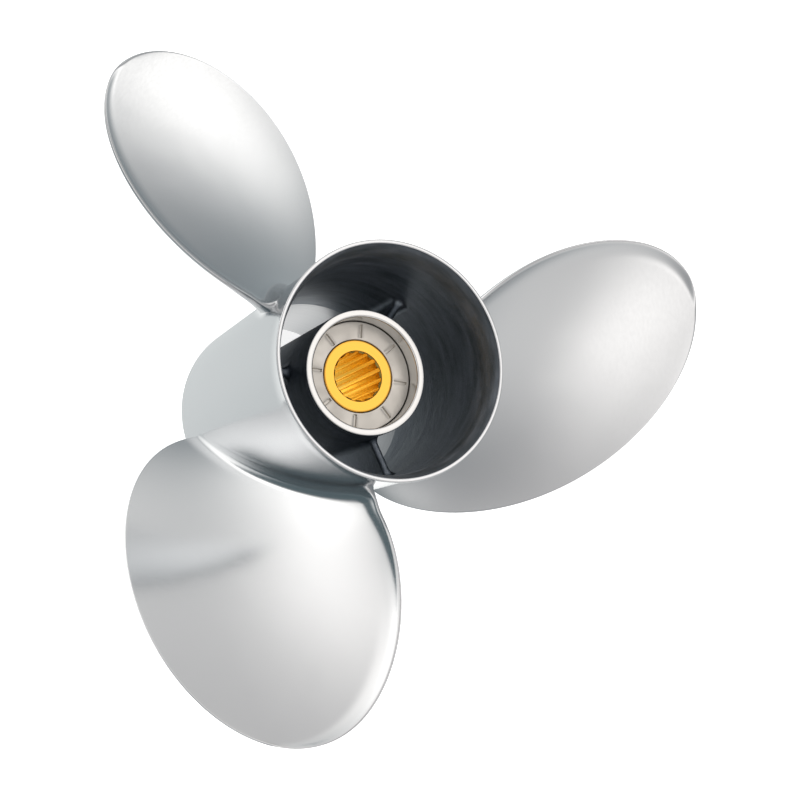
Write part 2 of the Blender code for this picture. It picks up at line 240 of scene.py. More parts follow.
# %% [markdown]
# ## The blades
#
# A blade is a family of sections, one for each height over the barrel. Each section lies
# along the helix of the pitch and is wrapped round the shaft. Half the chord follows an
# ellipse outside the widest radius and a parabola inside it, the mid-chord line skews
# back, and the face leans towards the rear by the rake. The section is a thin lens, round
# at its edge, that curls up at the trailing edge: the cup. At the root it widens into a
# fillet that runs out flat on the barrel. Booleans and bevels could make that fillet, but
# a section that grows by the fillet's own arc gives clean reflections.

# %% Blade dimensions
BLADE_MID_Z, DATUM_RADIUS = 0.0749, 0.058    # mid-chord at the datum radius
SKEW, RAKE, RAKE_CURL = math.radians(17.2), 0.27, 0.48
HALF_CHORD, WIDEST_RADIUS, INNER_CHORD_SPAN = 0.0648, 0.1232, 0.0993
ROOT_THICKNESS, TIP_THICKNESS = 0.0130, 0.0026
LEADING_EDGE, TRAILING_EDGE = 0.0013, 0.0026
FACE_SHARE = 0.2             # part of the thickness that stands on the pressure face
LIP_SHARE = 0.8              # width of the edge's rounding, in thicknesses of the edge
CUP_HEIGHT, CUP_WIDTH, CUP_CURL = 0.0024, 0.012, 2.5
FILLET_ON_FACE, FILLET_ON_BACK, FILLET_LEAST = 0.0085, 0.0050, 0.0012
FILLET_ROUNDING = 0.15       # share of the fillet that rounds the foot's two ends
TAIL_SPREAD, TAIL_SPREAD_HEIGHT, TAIL_SPREAD_CURL = 0.0045, 0.014, 1.5
FOOT_FADE = 0.030            # span over which a section turns from the cone to a cylinder
FOOT_SUNK, FOOT_WIDENING = 0.0004, 0.0010    # the fillet runs on into the barrel's wall
CORE_SUNK = 0.0020           # the blade closes this deep in the wall
FOOT = float(barrel_outer(BLADE_MID_Z))
print(f"blade root at {FOOT / MM:.1f} mm, widest at {WIDEST_RADIUS / MM:.1f} mm")


# %% Blade surface
def half_chord(radius):
    """Half the chord round the shaft: an ellipse outside the widest radius, a parabola inside."""
    outward = np.clip((radius - WIDEST_RADIUS) / (TIP_RADIUS - WIDEST_RADIUS), 0, 1)
    inward = np.clip((WIDEST_RADIUS - radius) / INNER_CHORD_SPAN, 0, 1)
    return HALF_CHORD * np.sqrt(1 - outward ** 2) * (1 - inward ** 2)


def edge_distance(share, radius, reach):
    """Rough distance to the blade's outline: along the chord inside, to the ellipse outside."""
    outward = np.clip((radius - WIDEST_RADIUS) / (TIP_RADIUS - WIDEST_RADIUS), 0, 1)
    towards_outline = np.sqrt(share ** 2 * (1 - outward ** 2) + outward ** 2)
    widest = HALF_CHORD / math.cos(math.atan2(PITCH, math.tau * WIDEST_RADIUS))
    return (1 - towards_outline) * np.where(outward > 0, widest, reach)


def fillet_radius(share, side):
    """On the face it grows with the root of the way from the leading edge, on the back it
    swells as a half ellipse over the chord, and between them it is blended by the side."""
    on_face = FILLET_LEAST + (FILLET_ON_FACE - FILLET_LEAST) * np.sqrt((share + 1) / 2)
    on_back = FILLET_LEAST + (FILLET_ON_BACK - FILLET_LEAST) * np.sqrt(1 - share ** 2)
    return on_back + (on_face - on_back) * (side + 1) / 2


def blade_points(height, fillet, share, side, rounds=8):
    """Points of blade 1 for arrays of height over the barrel, fillet width, chord share
    (-1 leading to 1 trailing edge) and side (1 face, -1 back), all of one shape.

    With u along the helix, n across it and h the helix angle, a point has
    angle = skew + (u cos h - n sin h) / radius and z = mid-chord + u sin h + n cos h.
    Near the foot the radius follows the barrel's taper, so it depends on z in turn, and
    the two are worked out together in a few rounds.
    """
    taper_share = 1 - np.clip((height - FILLET_ON_FACE) / FOOT_FADE, 0, 1)
    towards_tail = (share + 1) / 2
    spread = TAIL_SPREAD * np.clip(1 - height / TAIL_SPREAD_HEIGHT, 0, 1) ** TAIL_SPREAD_CURL
    radius = FOOT + height + 0 * share
    for _ in range(rounds):
        span = radius - DATUM_RADIUS
        span_share = span / (TIP_RADIUS - DATUM_RADIUS)
        skew = SKEW * span_share
        helix = np.arctan2(PITCH, math.tau * radius)
        reach = half_chord(radius) / np.cos(helix)
        edge = LEADING_EDGE + (TRAILING_EDGE - LEADING_EDGE) * towards_tail
        full = ROOT_THICKNESS + (TIP_THICKNESS - ROOT_THICKNESS) * np.clip(span_share, 0, 1)
        belly = np.maximum(full - edge, 0) * (1 - share ** 2)
        inset = edge_distance(share, radius, reach) / (edge * LIP_SHARE + fillet * FILLET_ROUNDING)
        roundness = np.sqrt(1 - np.clip(1 - inset, 0, 1) ** 2)
        thick = ((edge + belly) / 2 + fillet) * roundness
        u = share * reach + spread * towards_tail ** 3
        cup_start = 1 - CUP_WIDTH / np.maximum(reach, CUP_WIDTH)
        cup = CUP_HEIGHT * np.clip((share - cup_start) / (1 - cup_start), 0, 1) ** CUP_CURL
        cup = cup * np.clip(reach / (2 * CUP_WIDTH), 0, 1)
        n = side * thick - (0.5 - FACE_SHARE) * belly + cup
        angle = skew + (u * np.cos(helix) - n * np.sin(helix)) / radius
        z = BLADE_MID_Z + PITCH * skew / math.tau + RAKE * span + RAKE_CURL * span ** 2
        z = z + u * np.sin(helix) + n * np.cos(helix)
        radius = FOOT + height + taper_share * (barrel_outer(z) - FOOT)
    return np.stack((radius * np.cos(angle), radius * np.sin(angle), z), axis=-1)


def blade_grid(chord_steps=90, fillet_steps=16, inner_steps=26, outer_steps=44):
    """Rows from inside the barrel's wall to the tip, columns round the section."""
    chord = -np.cos(np.linspace(0, math.pi, chord_steps + 1))
    share = np.concatenate((chord, chord[-2:0:-1]))
    side = np.concatenate(([0], np.ones(chord_steps - 1), [0], -np.ones(chord_steps - 1)))
    radius = fillet_radius(share, side)
    turn = np.linspace(0, math.pi / 2, fillet_steps)[:, None]
    widest = WIDEST_RADIUS - FOOT
    inner_share = np.linspace(0, 1, inner_steps)[1:, None]
    outer_turn = np.linspace(0, math.pi / 2, outer_steps)[1:, None]
    height = np.concatenate((
        0 * radius[None] - FOOT_SUNK,
        radius * (1 - np.cos(turn)),
        radius + (widest - radius) * inner_share,
        widest + (TIP_RADIUS - WIDEST_RADIUS) * np.sin(outer_turn) + 0 * radius))
    fillet = np.zeros(height.shape)
    fillet[0] = radius + FOOT_WIDENING
    fillet[1:fillet_steps + 1] = radius * (1 - np.sin(turn))
    rows = blade_points(height, fillet, share + 0 * height, side + 0 * height)
    core = blade_points(0 * share - CORE_SUNK, 0 * share, share, 0 * side)
    return np.concatenate((core[None], rows))


def turned_about_z(points, angle):
    """The same points turned about the shaft."""
    cos, sin = math.cos(angle), math.sin(angle)
    return points @ np.array(((cos, sin, 0), (-sin, cos, 0), (0, 0, 1)))


# %% Three blades
BLADE = blade_grid()
blades = []
for number in range(1, BLADES + 1):
    turned = turned_about_z(BLADE, math.tau * (number - 1) / BLADES)
    blades.append(add_piece(f"blade_skin_{number}", turned, [f"blade_{number}"], ring=False, sharp_angle=80))

# %% [markdown]
# ## The inner hub and the webs
#
# The inner hub is a plain tube. Its rear end is faced in the lathe and chamfered, its recess
# is machined, and a lip at the front takes the thrust. The three webs are cast with it: each
# is a rib with rounded edges and a fillet at both roots. A turned profile and a grid of
# loops are enough for them, where a Boolean union would leave ragged faces at the fillets.

# %% Inner hub
def hub_outer(z):
    """Outer radius of the inner hub: a straight taper between its two ends."""
    return np.interp(z, (HUB_FRONT, HUB_REAR), (HUB_FRONT_RADIUS, HUB_RADIUS))


RECESS_FRONT = SLEEVE_REAR - 0.002     # machined from just in front of the sleeve's end
hub_corners = np.array((
    (HUB_RADIUS, HUB_REAR), (HUB_FRONT_RADIUS, HUB_FRONT), (HUB_LIP_BORE, HUB_FRONT),
    (HUB_LIP_BORE, HUB_FRONT + HUB_LIP_LENGTH), (HUB_BORE, HUB_FRONT + HUB_LIP_LENGTH),
    (HUB_BORE, RECESS_FRONT), (HUB_BORE, HUB_REAR)))
hub_profile = rounded(hub_corners, reach=(0.0006, 0.001, 0.0008, 0.0004, 0.0006, 0, 0.0010))
inner_hub = add_piece("inner_hub_skin", revolve(hub_profile, steps=192), ["inner_hub"])


# %% Webs
WEB_FILLET = 0.004
WEB_SUNK = 0.0008            # the roots run this far into hub and barrel
WEB_REAR_SWELL, WEB_FRONT_SWELL = 0.5, 0.3    # shares of the fillet at the two edges


def web_grid(angle, span_steps=22, edge_steps=14):
    """A rib along X, as loops round its section: flat sides, round front and rear edges.

    Each end of the span widens by a quarter-round fillet.
    """
    turn = np.linspace(0, math.pi / 2, span_steps // 2)
    near = WEB_FILLET * (1 - np.cos(turn))
    widening = WEB_FILLET * (1 - np.sin(turn))
    depth = np.concatenate(([-WEB_SUNK], near, near[::-1], [-WEB_SUNK]))
    extra = np.concatenate(([WEB_FILLET], widening, widening[::-1], [WEB_FILLET]))[:, None]
    half = WEB_THICKNESS / 2
    round_edge = np.linspace(0, math.pi, edge_steps)
    across = np.concatenate((np.cos(round_edge), -np.cos(round_edge)))
    along = np.concatenate((np.sin(round_edge), -np.sin(round_edge)))
    middle = np.concatenate((np.full(edge_steps, WEB_REAR - half), np.full(edge_steps, WEB_FRONT + half)))
    y = across * (half + extra)
    z = middle + along * (half + extra * np.where(along > 0, WEB_REAR_SWELL, WEB_FRONT_SWELL))
    halfway = len(depth) // 2
    inner = np.sqrt(np.maximum((hub_outer(z) + depth[:, None]) ** 2 - y ** 2, 0))
    outer = np.sqrt((barrel_inner(z) - depth[:, None]) ** 2 - y ** 2)
    x = np.concatenate((inner[:halfway], outer[halfway:]))
    loops = np.stack((x, y, z), axis=-1)
    caps = loops[[0, -1]] * np.array((1, 0, 1))
    return turned_about_z(np.concatenate((caps[:1], loops, caps[1:])), angle)


webs = []
for number in range(1, BLADES + 1):
    grid = web_grid(math.tau * (number - 0.5) / BLADES)
    webs.append(add_piece(f"web_skin_{number}", grid, [f"web_{number}"], ring=False, sharp_angle=80))


# %% [markdown]
# ## Sleeve, rubber and ring
#
# The brass sleeve turns with the shaft. Its bore has fifteen broached splines, which a
# cosine with a steep middle draws as one radius over the angle, and a chamfer leads in at
# both ends. The rubber lies between sleeve and hub. The ring that closes the rubber behind
# is die cast, with eight short radial slots that are closed at both ends.

# %% Drive sleeve
SPLINE_STEEPNESS = 3.2       # higher makes the flanks steeper
MOUTH_CHAMFER = 0.0004       # the mouth is this much wider than the splines' roots
LEAD_IN = 2.4 * MOUTH_CHAMFER
SLEEVE_EDGE = 0.0005         # rounding of the outer edge
MOUTH_LAND, BORE_LAND = 0.0004, 0.006    # rows that keep the shading flat beside the mouth


def spline_radius(angle):
    """Flat crests and roots with steep flanks: a cosine pushed through a steep tanh."""
    wave = np.tanh(SPLINE_STEEPNESS * np.cos(SPLINE_TEETH * angle)) / math.tanh(SPLINE_STEEPNESS)
    return (SPLINE_MAJOR + SPLINE_MINOR) / 2 + (SPLINE_MAJOR - SPLINE_MINOR) / 2 * wave


def sleeve_grid(steps=SPLINE_TEETH * 28):
    """Outside and rear face, bore, front face; the lead-in cuts the ends of the splines."""
    angle = np.linspace(0, math.tau, steps, endpoint=False)
    mouth = SPLINE_MAJOR + MOUTH_CHAMFER
    outside = [
        (SLEEVE_RADIUS, SLEEVE_FRONT + SLEEVE_EDGE), (SLEEVE_RADIUS, SLEEVE_REAR - SLEEVE_EDGE),
        (SLEEVE_RADIUS - SLEEVE_EDGE * 0.3, SLEEVE_REAR - SLEEVE_EDGE * 0.3),
        (SLEEVE_RADIUS - SLEEVE_EDGE, SLEEVE_REAR), (SLEEVE_RADIUS - 2 * SLEEVE_EDGE, SLEEVE_REAR),
        (mouth + MOUTH_LAND, SLEEVE_REAR), (mouth, SLEEVE_REAR)]
    depths = LEAD_IN * np.linspace(0, 1, 6)[1:]
    bore = [(mouth - depth, SLEEVE_REAR - depth) for depth in depths]
    bore += [(0, SLEEVE_REAR - BORE_LAND), (0, SLEEVE_FRONT + BORE_LAND)]
    bore += [(mouth - depth, SLEEVE_FRONT + depth) for depth in depths[::-1]]
    front = [(mouth, SLEEVE_FRONT), (SLEEVE_RADIUS - SLEEVE_EDGE, SLEEVE_FRONT)]
    profile = np.array(outside + bore + front)
    in_bore = slice(len(outside), len(outside) + len(bore))
    radius = np.repeat(profile[:, :1], steps, axis=1)
    radius[in_bore] = np.maximum(radius[in_bore], spline_radius(angle))
    return np.stack((radius * np.cos(angle), radius * np.sin(angle), profile[:, 1:] + 0 * angle), axis=-1)


sleeve = add_piece("drive_sleeve_skin", sleeve_grid(), ["drive_sleeve"], sharp_angle=35)

# %% Rubber bushing
rubber_corners = np.array((
    (HUB_BORE, RING_FRONT - SEAT_GAP), (HUB_BORE, RUBBER_FRONT),
    (SLEEVE_RADIUS, RUBBER_FRONT), (SLEEVE_RADIUS, RING_FRONT - SEAT_GAP)))
rubber_profile = rounded(rubber_corners, reach=(0.001, 0.002, 0.002, 0.001))
rubber = add_piece("rubber_skin", revolve(rubber_profile, steps=128), ["rubber_bushing"])


# %% Bushing ring
def ring_grid(columns_between=10, face_rows=10, slot_bevel=0.00025, bevel_drop=0.12):
    """A turned ring whose rear face dips along eight slots with straight, parallel sides.

    A column keeps its distance from the slot's middle at every radius, so its angle is
    asin(distance / radius); between slots the columns spread evenly. At the slot's edge
    the face has dropped by bevel_drop of the slot's depth.
    """
    half = RING_SLOT_WIDTH / 2
    offsets = np.array((-half - slot_bevel, -half, -half + slot_bevel / 2, 0,
                        half - slot_bevel / 2, half, half + slot_bevel))
    dip = np.array((0, bevel_drop, 1, 1, 1, bevel_drop, 0))
    inner, outer = SLEEVE_RADIUS + SEAT_GAP, HUB_BORE - SEAT_GAP
    corners = np.array((
        (outer, SLEEVE_REAR), (outer, RING_FRONT), (inner, RING_FRONT), (inner, SLEEVE_REAR)))
    profile = rounded(corners, reach=(0.0004, 0.0003, 0.0003, 0.0004))
    first, last = inner + RING_SLOT_END, RING_RADIUS - RING_SLOT_END
    face = np.concatenate(((first - slot_bevel,), np.linspace(first, last, face_rows), (last + slot_bevel,)))
    profile = np.vstack((profile, np.column_stack((face, np.full(len(face), SLEEVE_REAR)))))
    radius, z = profile[:, :1], profile[:, 1:]
    near = np.arcsin(offsets / radius)
    step = math.tau / RING_SLOTS
    share = np.linspace(0, 1, columns_between + 2)[1:-1]
    between = near[:, -1:] + (step + near[:, :1] - near[:, -1:]) * share
    one = np.concatenate((near, between), axis=1)
    drop = np.concatenate((dip, 0 * share))
    angle = np.concatenate([one + step * slot for slot in range(RING_SLOTS)], axis=1)
    drop = np.tile(drop, RING_SLOTS)
    in_slot = (z == SLEEVE_REAR) * np.clip((radius - first + slot_bevel) / slot_bevel, 0, 1)
    in_slot = in_slot * np.clip((last + slot_bevel - radius) / slot_bevel, 0, 1)
    depth = in_slot * RING_SLOT_DEPTH * drop
    return np.stack((radius * np.cos(angle), radius * np.sin(angle), z - depth), axis=-1)


bushing_ring = add_piece("bushing_ring_skin", ring_grid(), ["bushing_ring"], sharp_angle=30)


# %% [markdown]
# ## Finishes
#
# A finish is a small net of shader nodes. Colours are written as sRGB hex and turned to
# linear light. One helper adds a node, and two more stand for the nodes that repeat.

# %% Colour and node helpers
def linear(code):
    """An sRGB hex colour as linear red, green, blue and alpha."""
    channels = np.array([int(code[place:place + 2], 16) for place in (1, 3, 5)]) / 255
    curve = np.where(channels <= 0.04045, channels / 12.92, ((channels + 0.055) / 1.055) ** 2.4)
    return (*curve.tolist(), 1.0)


def add_node(tree, kind, inputs=None, **settings):
    """Add a node, set its properties, and set or link its inputs."""
    made = tree.nodes.new(kind)
    for key, value in settings.items():
        setattr(made, key, value)
    for key, value in (inputs or {}).items():
        if isinstance(value, bpy.types.NodeSocket):
            tree.links.new(value, made.inputs[key])
        else:
            made.inputs[key].default_value = value
    return made


def maths(tree, operation, *values):
    """A Math node's result for the given numbers or sockets."""
    return add_node(tree, "ShaderNodeMath", dict(enumerate(values)), operation=operation).outputs[0]


def mix_colour(tree, factor, first, second):
    """A colour between the first, at factor 0, and the second, at 1."""
    inputs = {"Factor": factor, "A": first, "B": second}
    return add_node(tree, "ShaderNodeMix", inputs, data_type="RGBA").outputs["Result"]


def new_material(name):
    """An empty material with an object-coordinate source; finish_material adds its output node."""
    material = bpy.data.materials.new(name)
    material.use_nodes = True
    tree = material.node_tree
    tree.nodes.clear()
    place = add_node(tree, "ShaderNodeTexCoord").outputs["Object"]
    return material, tree, place


def finish_material(material, tree, **inputs):
    """Close a material with a Principled BSDF whose sockets are given by name."""
    names = {key.replace("_", " ").title().replace("Ior", "IOR"): value for key, value in inputs.items()}
    shader = add_node(tree, "ShaderNodeBsdfPrincipled", names)
    add_node(tree, "ShaderNodeOutputMaterial", {"Surface": shader.outputs["BSDF"]})
    return material


# %% [markdown]
# ## Polished steel
#
# The blades and the outside are investment-cast stainless steel, ground and then buffed on
# a wheel. To the eye that is a soft mirror: reflections keep their shape but lose their
# edges. A little unevenness is left from the hand work, some centimetres wide, and under it
# lie the fine marks of the buffing wheel.

# %% Cylinder coordinates and buffed stainless
def round_place(tree, place):
    """Distance from the shaft, angle round it in radians and height, as three outputs."""
    split = add_node(tree, "ShaderNodeSeparateXYZ", {"Vector": place}).outputs
    flat = add_node(tree, "ShaderNodeVectorMath", {0: place, 1: (1, 1, 0)}, operation="MULTIPLY").outputs[0]
    radius = add_node(tree, "ShaderNodeVectorMath", {0: flat}, operation="LENGTH").outputs["Value"]
    angle = maths(tree, "ARCTAN2", split["Y"], split["X"])
    return radius, angle, split["Z"]


def streaked(tree, place, share):
    """Cylinder coordinates with the angle shrunk to a share: noise over them runs in streaks
    round the shaft."""
    radius, angle, z = round_place(tree, place)
    shrunk = maths(tree, "MULTIPLY", angle, share)
    return add_node(tree, "ShaderNodeCombineXYZ", {"X": shrunk, "Y": radius, "Z": z}).outputs[0]


def noise(tree, vector, size_mm, detail=3.0, roughness=0.5):
    """Noise whose features are about size_mm across."""
    settings = {"Vector": vector, "Scale": 1 / (size_mm * MM), "Detail": detail, "Roughness": roughness}
    return add_node(tree, "ShaderNodeTexNoise", settings).outputs["Fac"]


def between(tree, factor, low, high):
    """Carry a 0.3 to 0.7 pattern to the range low to high."""
    settings = {"Value": factor, "From Min": 0.3, "From Max": 0.7, "To Min": low, "To Max": high}
    return add_node(tree, "ShaderNodeMapRange", settings).outputs["Result"]


def buffed_stainless():
    """A soft mirror with waves 28 mm wide and the wheel's marks round the shaft.

    Real marks are hundredths of a millimetre wide and would only flicker, so they are drawn
    coarser, 1.2 mm, and very shallow. Their roughness blurs the reflections a little.
    """
    material, tree, place = new_material("buffed_stainless")
    lengthened = add_node(tree, "ShaderNodeMapping", {"Vector": place, "Scale": (1.0, 1.0, 0.35)})
    waves = noise(tree, lengthened.outputs["Vector"], 28, detail=1.0)
    marks = noise(tree, streaked(tree, place, 0.02), 1.2)
    uneven = add_node(tree, "ShaderNodeBump", {"Height": waves, "Strength": 0.35, "Distance": 0.0004})
    fine = add_node(tree, "ShaderNodeBump", {
        "Height": marks, "Strength": 0.25, "Distance": 0.00001, "Normal": uneven.outputs["Normal"]})
    return finish_material(material, tree, base_color=linear("#C9CBCD"), metallic=1.0,
                           roughness=between(tree, marks, 0.16, 0.20), normal=fine.outputs["Normal"])


# %% [markdown]
# ## Cast steel inside
#
# No wheel reaches the inside, so it keeps the skin of the casting, blasted clean and
# darkened: rough, nearly black where it faces the studio's dark side, with streaks round
# the bore. Blasted steel scatters light widely, which is what roughness is for.

# %% Cast stainless
def cast_stainless():
    """Dull and dark with lighter streaks round the bore, on a grain of about a millimetre."""
    material, tree, place = new_material("cast_stainless")
    streaks = noise(tree, streaked(tree, place, 0.012), 5, detail=5.0, roughness=0.6)
    grain = noise(tree, place, 0.8, detail=2.0)
    shade = mix_colour(tree, between(tree, streaks, 0.0, 1.0), linear("#6A737A"), linear("#959CA6"))
    bump = add_node(tree, "ShaderNodeBump", {"Height": grain, "Strength": 0.3, "Distance": 0.0002})
    lines = add_node(tree, "ShaderNodeBump", {
        "Height": streaks, "Strength": 0.4, "Distance": 0.0004, "Normal": bump.outputs["Normal"]})
    return finish_material(material, tree, base_color=shade, metallic=1.0,
                           roughness=between(tree, streaks, 0.42, 0.58), normal=lines.outputs["Normal"])


# %% [markdown]
# ## Machined and moulded parts
#
# The lathe faces the hub's rear end and its recess, bores the front of the barrel and turns
# the brass sleeve. Its tool leaves rings, a feed apart, that stretch every highlight across
# them. The bored front is drawn in a lighter grey than most of the cast inside: painted light
# for what comes in through the front opening. A broach cuts the splines, and their lighter
# brass is a painted highlight for the light that the bore catches. The ring is die-cast zinc,
# pale with a fine grain from the mould, and the rubber is moulded, black and dull. One function
# serves all turned faces, since they differ only in colour, roughness, feed and depth.

# %% Turned steel, brass, zinc and rubber
def turned_metal(name, code, roughness, line_mm=0.3, depth_mm=0.01):
    """A lathe-turned face: rings round the shaft, about line_mm apart.

    A real feed of a tenth of a millimetre is too fine for a pixel, so it is drawn coarser.
    """
    material, tree, place = new_material(name)
    radius, _, z = round_place(tree, place)
    rings = add_node(tree, "ShaderNodeCombineXYZ", {"X": maths(tree, "ADD", radius, z)}).outputs[0]
    lines = noise(tree, rings, line_mm, detail=2.0)
    bump = add_node(tree, "ShaderNodeBump", {"Height": lines, "Strength": 0.5, "Distance": depth_mm * MM})
    uneven = between(tree, lines, roughness * 0.8, roughness * 1.2)
    return finish_material(material, tree, base_color=linear(code), metallic=1.0,
                           roughness=uneven, normal=bump.outputs["Normal"])


def die_cast_zinc():
    """Pale grey metal that blurs what it mirrors, in patches of nearly a centimetre."""
    material, tree, place = new_material("die_cast_zinc")
    grain = noise(tree, place, 0.5, detail=2.0)
    patches = noise(tree, place, 9, detail=2.0)
    bump = add_node(tree, "ShaderNodeBump", {"Height": grain, "Strength": 0.3, "Distance": 0.00005})
    return finish_material(material, tree, base_color=linear("#CFCBC4"), metallic=1.0,
                           roughness=between(tree, patches, 0.38, 0.5), normal=bump.outputs["Normal"])


def moulded_rubber():
    """Black rubber with the mould's fine grain, so that highlights are wide and faint."""
    material, tree, place = new_material("moulded_rubber")
    grain = noise(tree, place, 0.6)
    bump = add_node(tree, "ShaderNodeBump", {"Height": grain, "Strength": 0.4, "Distance": 0.0001})
    return finish_material(material, tree, base_color=linear("#161617"), roughness=0.65,
                           normal=bump.outputs["Normal"])


# %% [markdown]
# ## Which finish goes where
#
# One casting carries several finishes. The barrel is polished outside, left as cast inside,
# and bored over its front part, whose lighter grey is painted light from the front opening.
# The hub is cast, with a machined rear end and recess. The sleeve is turned, with a broached
# bore whose lighter brass is a painted highlight. Each face is asked for its place and its
# normal, which follows the shape, where painted faces would have to be chosen one by one.

# %% Give each piece its finish
# the bored front zone, whose lighter grey is painted light from the front opening
BORED_LIT_LENGTH = 0.056         # from the barrel's front end
INWARD = -0.7                # a normal with less than this points at the shaft
FACED_DEPTH = 0.0012         # of the hub's rear end
HUB_MARGIN, SPLINE_MARGIN = 0.0002, 0.0001


def paint(piece, finishes, choose=None):
    """Fill the material slots; choose(centres, normals) says which finish each face takes."""
    for finish in finishes:
        piece.data.materials.append(finish)
    if choose:
        count = len(piece.data.polygons)
        centres, normals = np.empty(count * 3), np.empty(count * 3)
        piece.data.polygons.foreach_get("center", centres)
        piece.data.polygons.foreach_get("normal", normals)
        index = choose(centres.reshape(-1, 3), normals.reshape(-1, 3)).astype(np.int32)
        piece.data.polygons.foreach_set("material_index", index)


def barrel_finish(centres, normals):
    """0 outside, 1 where a face looks towards the shaft, 2 in the bored front part.

    The bored part's lighter grey is painted light from the front opening.
    """
    radial = (centres[:, :2] * normals[:, :2]).sum(axis=1) / np.linalg.norm(centres[:, :2], axis=1)
    return (radial < INWARD) * np.where(centres[:, 2] < BORED_LIT_LENGTH, 2, 1)


def hub_finish(centres, normals):
    """1 on the faced rear end and in the bored recess, 0 on the casting."""
    near_shaft = np.linalg.norm(centres[:, :2], axis=1) < HUB_BORE + HUB_MARGIN
    return (centres[:, 2] > HUB_REAR - FACED_DEPTH) | (near_shaft & (centres[:, 2] > RECESS_FRONT))


def sleeve_finish(centres, normals):
    """1 in the splined bore, 0 on the turned faces."""
    return np.linalg.norm(centres[:, :2], axis=1) < SPLINE_MAJOR + SPLINE_MARGIN


polished, cast = buffed_stainless(), cast_stainless()
turned_steel = turned_metal("turned_stainless", "#CFCFCE", 0.22)
# bored front: a turned finish, in a lighter grey that is painted light from the front opening
bored_lit_steel = turned_metal("bored_lit_stainless", "#96989B", 0.34, line_mm=1.0, depth_mm=0.03)
brass = turned_metal("machined_brass", "#EDB44E", 0.24, line_mm=0.25)
# splines: a broached finish, in a lighter brass that is a painted highlight for the light the bore catches
broached_lit_brass = turned_metal("broached_lit_brass", "#FCD873", 0.20, line_mm=4.0, depth_mm=0.0005)
paint(barrel, [polished, cast, bored_lit_steel], barrel_finish)
paint(inner_hub, [cast, turned_steel], hub_finish)
paint(sleeve, [brass, broached_lit_brass], sleeve_finish)
paint(bushing_ring, [die_cast_zinc()])
paint(rubber, [moulded_rubber()])
for blade in blades:
    paint(blade, [polished])
for web in webs:
    paint(web, [cast])
print("barrel's finishes:", [finish.name for finish in barrel.data.materials])

# %% [markdown]
# ## Camera
#
# The camera was found by laying the blades' outline over the photograph. It looks down on
# the rear end, 26 degrees off the shaft. Its place is given by the turns that lead to it
# from a view straight down the shaft, because angles say more than a matrix would.

# %% Camera
VIEW_TILT = math.radians(26.4)
VIEW_TURN = math.radians(28.77)
VIEW_ROLL = math.radians(-22.82)
VIEW_DISTANCE = 0.9469
VIEW_OFFSET = (0.00343, -0.01934)
LENS_MM, SENSOR_MM = 88.6, 36.0


def add_camera():
    """Turn the camera about the rim's centre: roll, then tilt, then turn round the shaft."""
    tilt = Matrix.Rotation(VIEW_TURN, 4, "Z") @ Matrix.Rotation(-VIEW_TILT, 4, "Y")
    turn = tilt @ Matrix.Rotation(VIEW_ROLL, 4, "Z")
    data = bpy.data.cameras.new("camera")
    data.lens = LENS_MM
    data.sensor_width = SENSOR_MM
    camera = bpy.data.objects.new("camera", data)
    place = Matrix.Translation((0, 0, LENGTH)) @ turn @ Matrix.Translation((*VIEW_OFFSET, VIEW_DISTANCE))
    camera.matrix_world = place
    bpy.context.scene.collection.objects.link(camera)
    bpy.context.scene.camera = camera
    print("camera at", [round(value, 4) for value in place.translation])


add_camera()

# %% [markdown]
# ## Studio
#
# Polished steel shows its surroundings, so the light is the picture. The propeller stands
# in a light tent: white cloth all round, with lamps outside that each throw a soft bright
# spot on it. A round grey card hangs in front of the cloth, cut straight above and below:
# it gives the dark bands at the blades' roots. The tent is the world shader. For each lamp
# it takes the dot product of the view direction with the lamp's, and lets the brightness
# fall off as a bell curve. Below is a light table, a sheet of white acrylic lit from underneath.

# %% Light tent
LAMPS = (  # azimuth and angle from the shaft, half-width of the spot, strength
    (30, 25, 12, 1.5),      # opposite the camera: rim, hub end and ring
    (75, 35, 10, 0.9),
    (270, 40, 8, 0.5),      # right blade
    (290, 45, 8, 1.0),
    (305, 70, 30, 0.7),
    (230, 80, 10, 0.8),
    (25, 80, 6, 1.1),       # upper blade
    (20, 90, 10, 1.2),
    (20, 110, 12, 0.25),
    (135, 60, 15, 1.2),     # lower blade
    (80, 75, 20, 0.8),
    (135, 105, 20, 1.6),
    (200, 45, 18, 1.4),
    (150, 85, 10, 1.2),
    (165, 120, 15, 0.8),    # backs of the blades
    (0, 180, 25, 0.8),      # from below: the barrel's outside and the bores
    (315, 155, 12, 1.4),    # front of the barrel's bore
)


def towards(azimuth, angle):
    """Unit vector with that azimuth in the floor and that angle from the shaft, in degrees."""
    azimuth, angle = math.radians(azimuth), math.radians(angle)
    return (math.sin(angle) * math.cos(azimuth), math.sin(angle) * math.sin(azimuth), math.cos(angle))


CLOTH_ABOVE, CLOTH_BELOW, LAMP_COLOUR = "#828184", "#7F8E94", "#FFFAF5"
CARD_COLOUR = "#66757A"
CARD_MIDDLE = (187, 92)      # azimuth and angle from the shaft
CARD_FULL, CARD_END = 40, 54                          # it fades out between these angles
CARD_EDGE_NORMAL, CARD_EDGE_BLUR = (70, 34), 0.035    # the upper edge lies square to this
CARD_FOOT, CARD_FOOT_BLUR = -0.30, 0.06    # the lower edge, as a height on the unit sphere


def facing(tree, view, direction):
    """Dot product of the view's direction with another."""
    inputs = {0: view, 1: direction}
    return add_node(tree, "ShaderNodeVectorMath", inputs, operation="DOT_PRODUCT").outputs["Value"]


def soft_step(tree, view, direction, low, high):
    """0 where the view's dot product with a direction is below low, 1 above high, eased between."""
    settings = {"Value": facing(tree, view, direction), "From Min": low, "From Max": high}
    return add_node(tree, "ShaderNodeMapRange", settings, interpolation_type="SMOOTHSTEP").outputs["Result"]


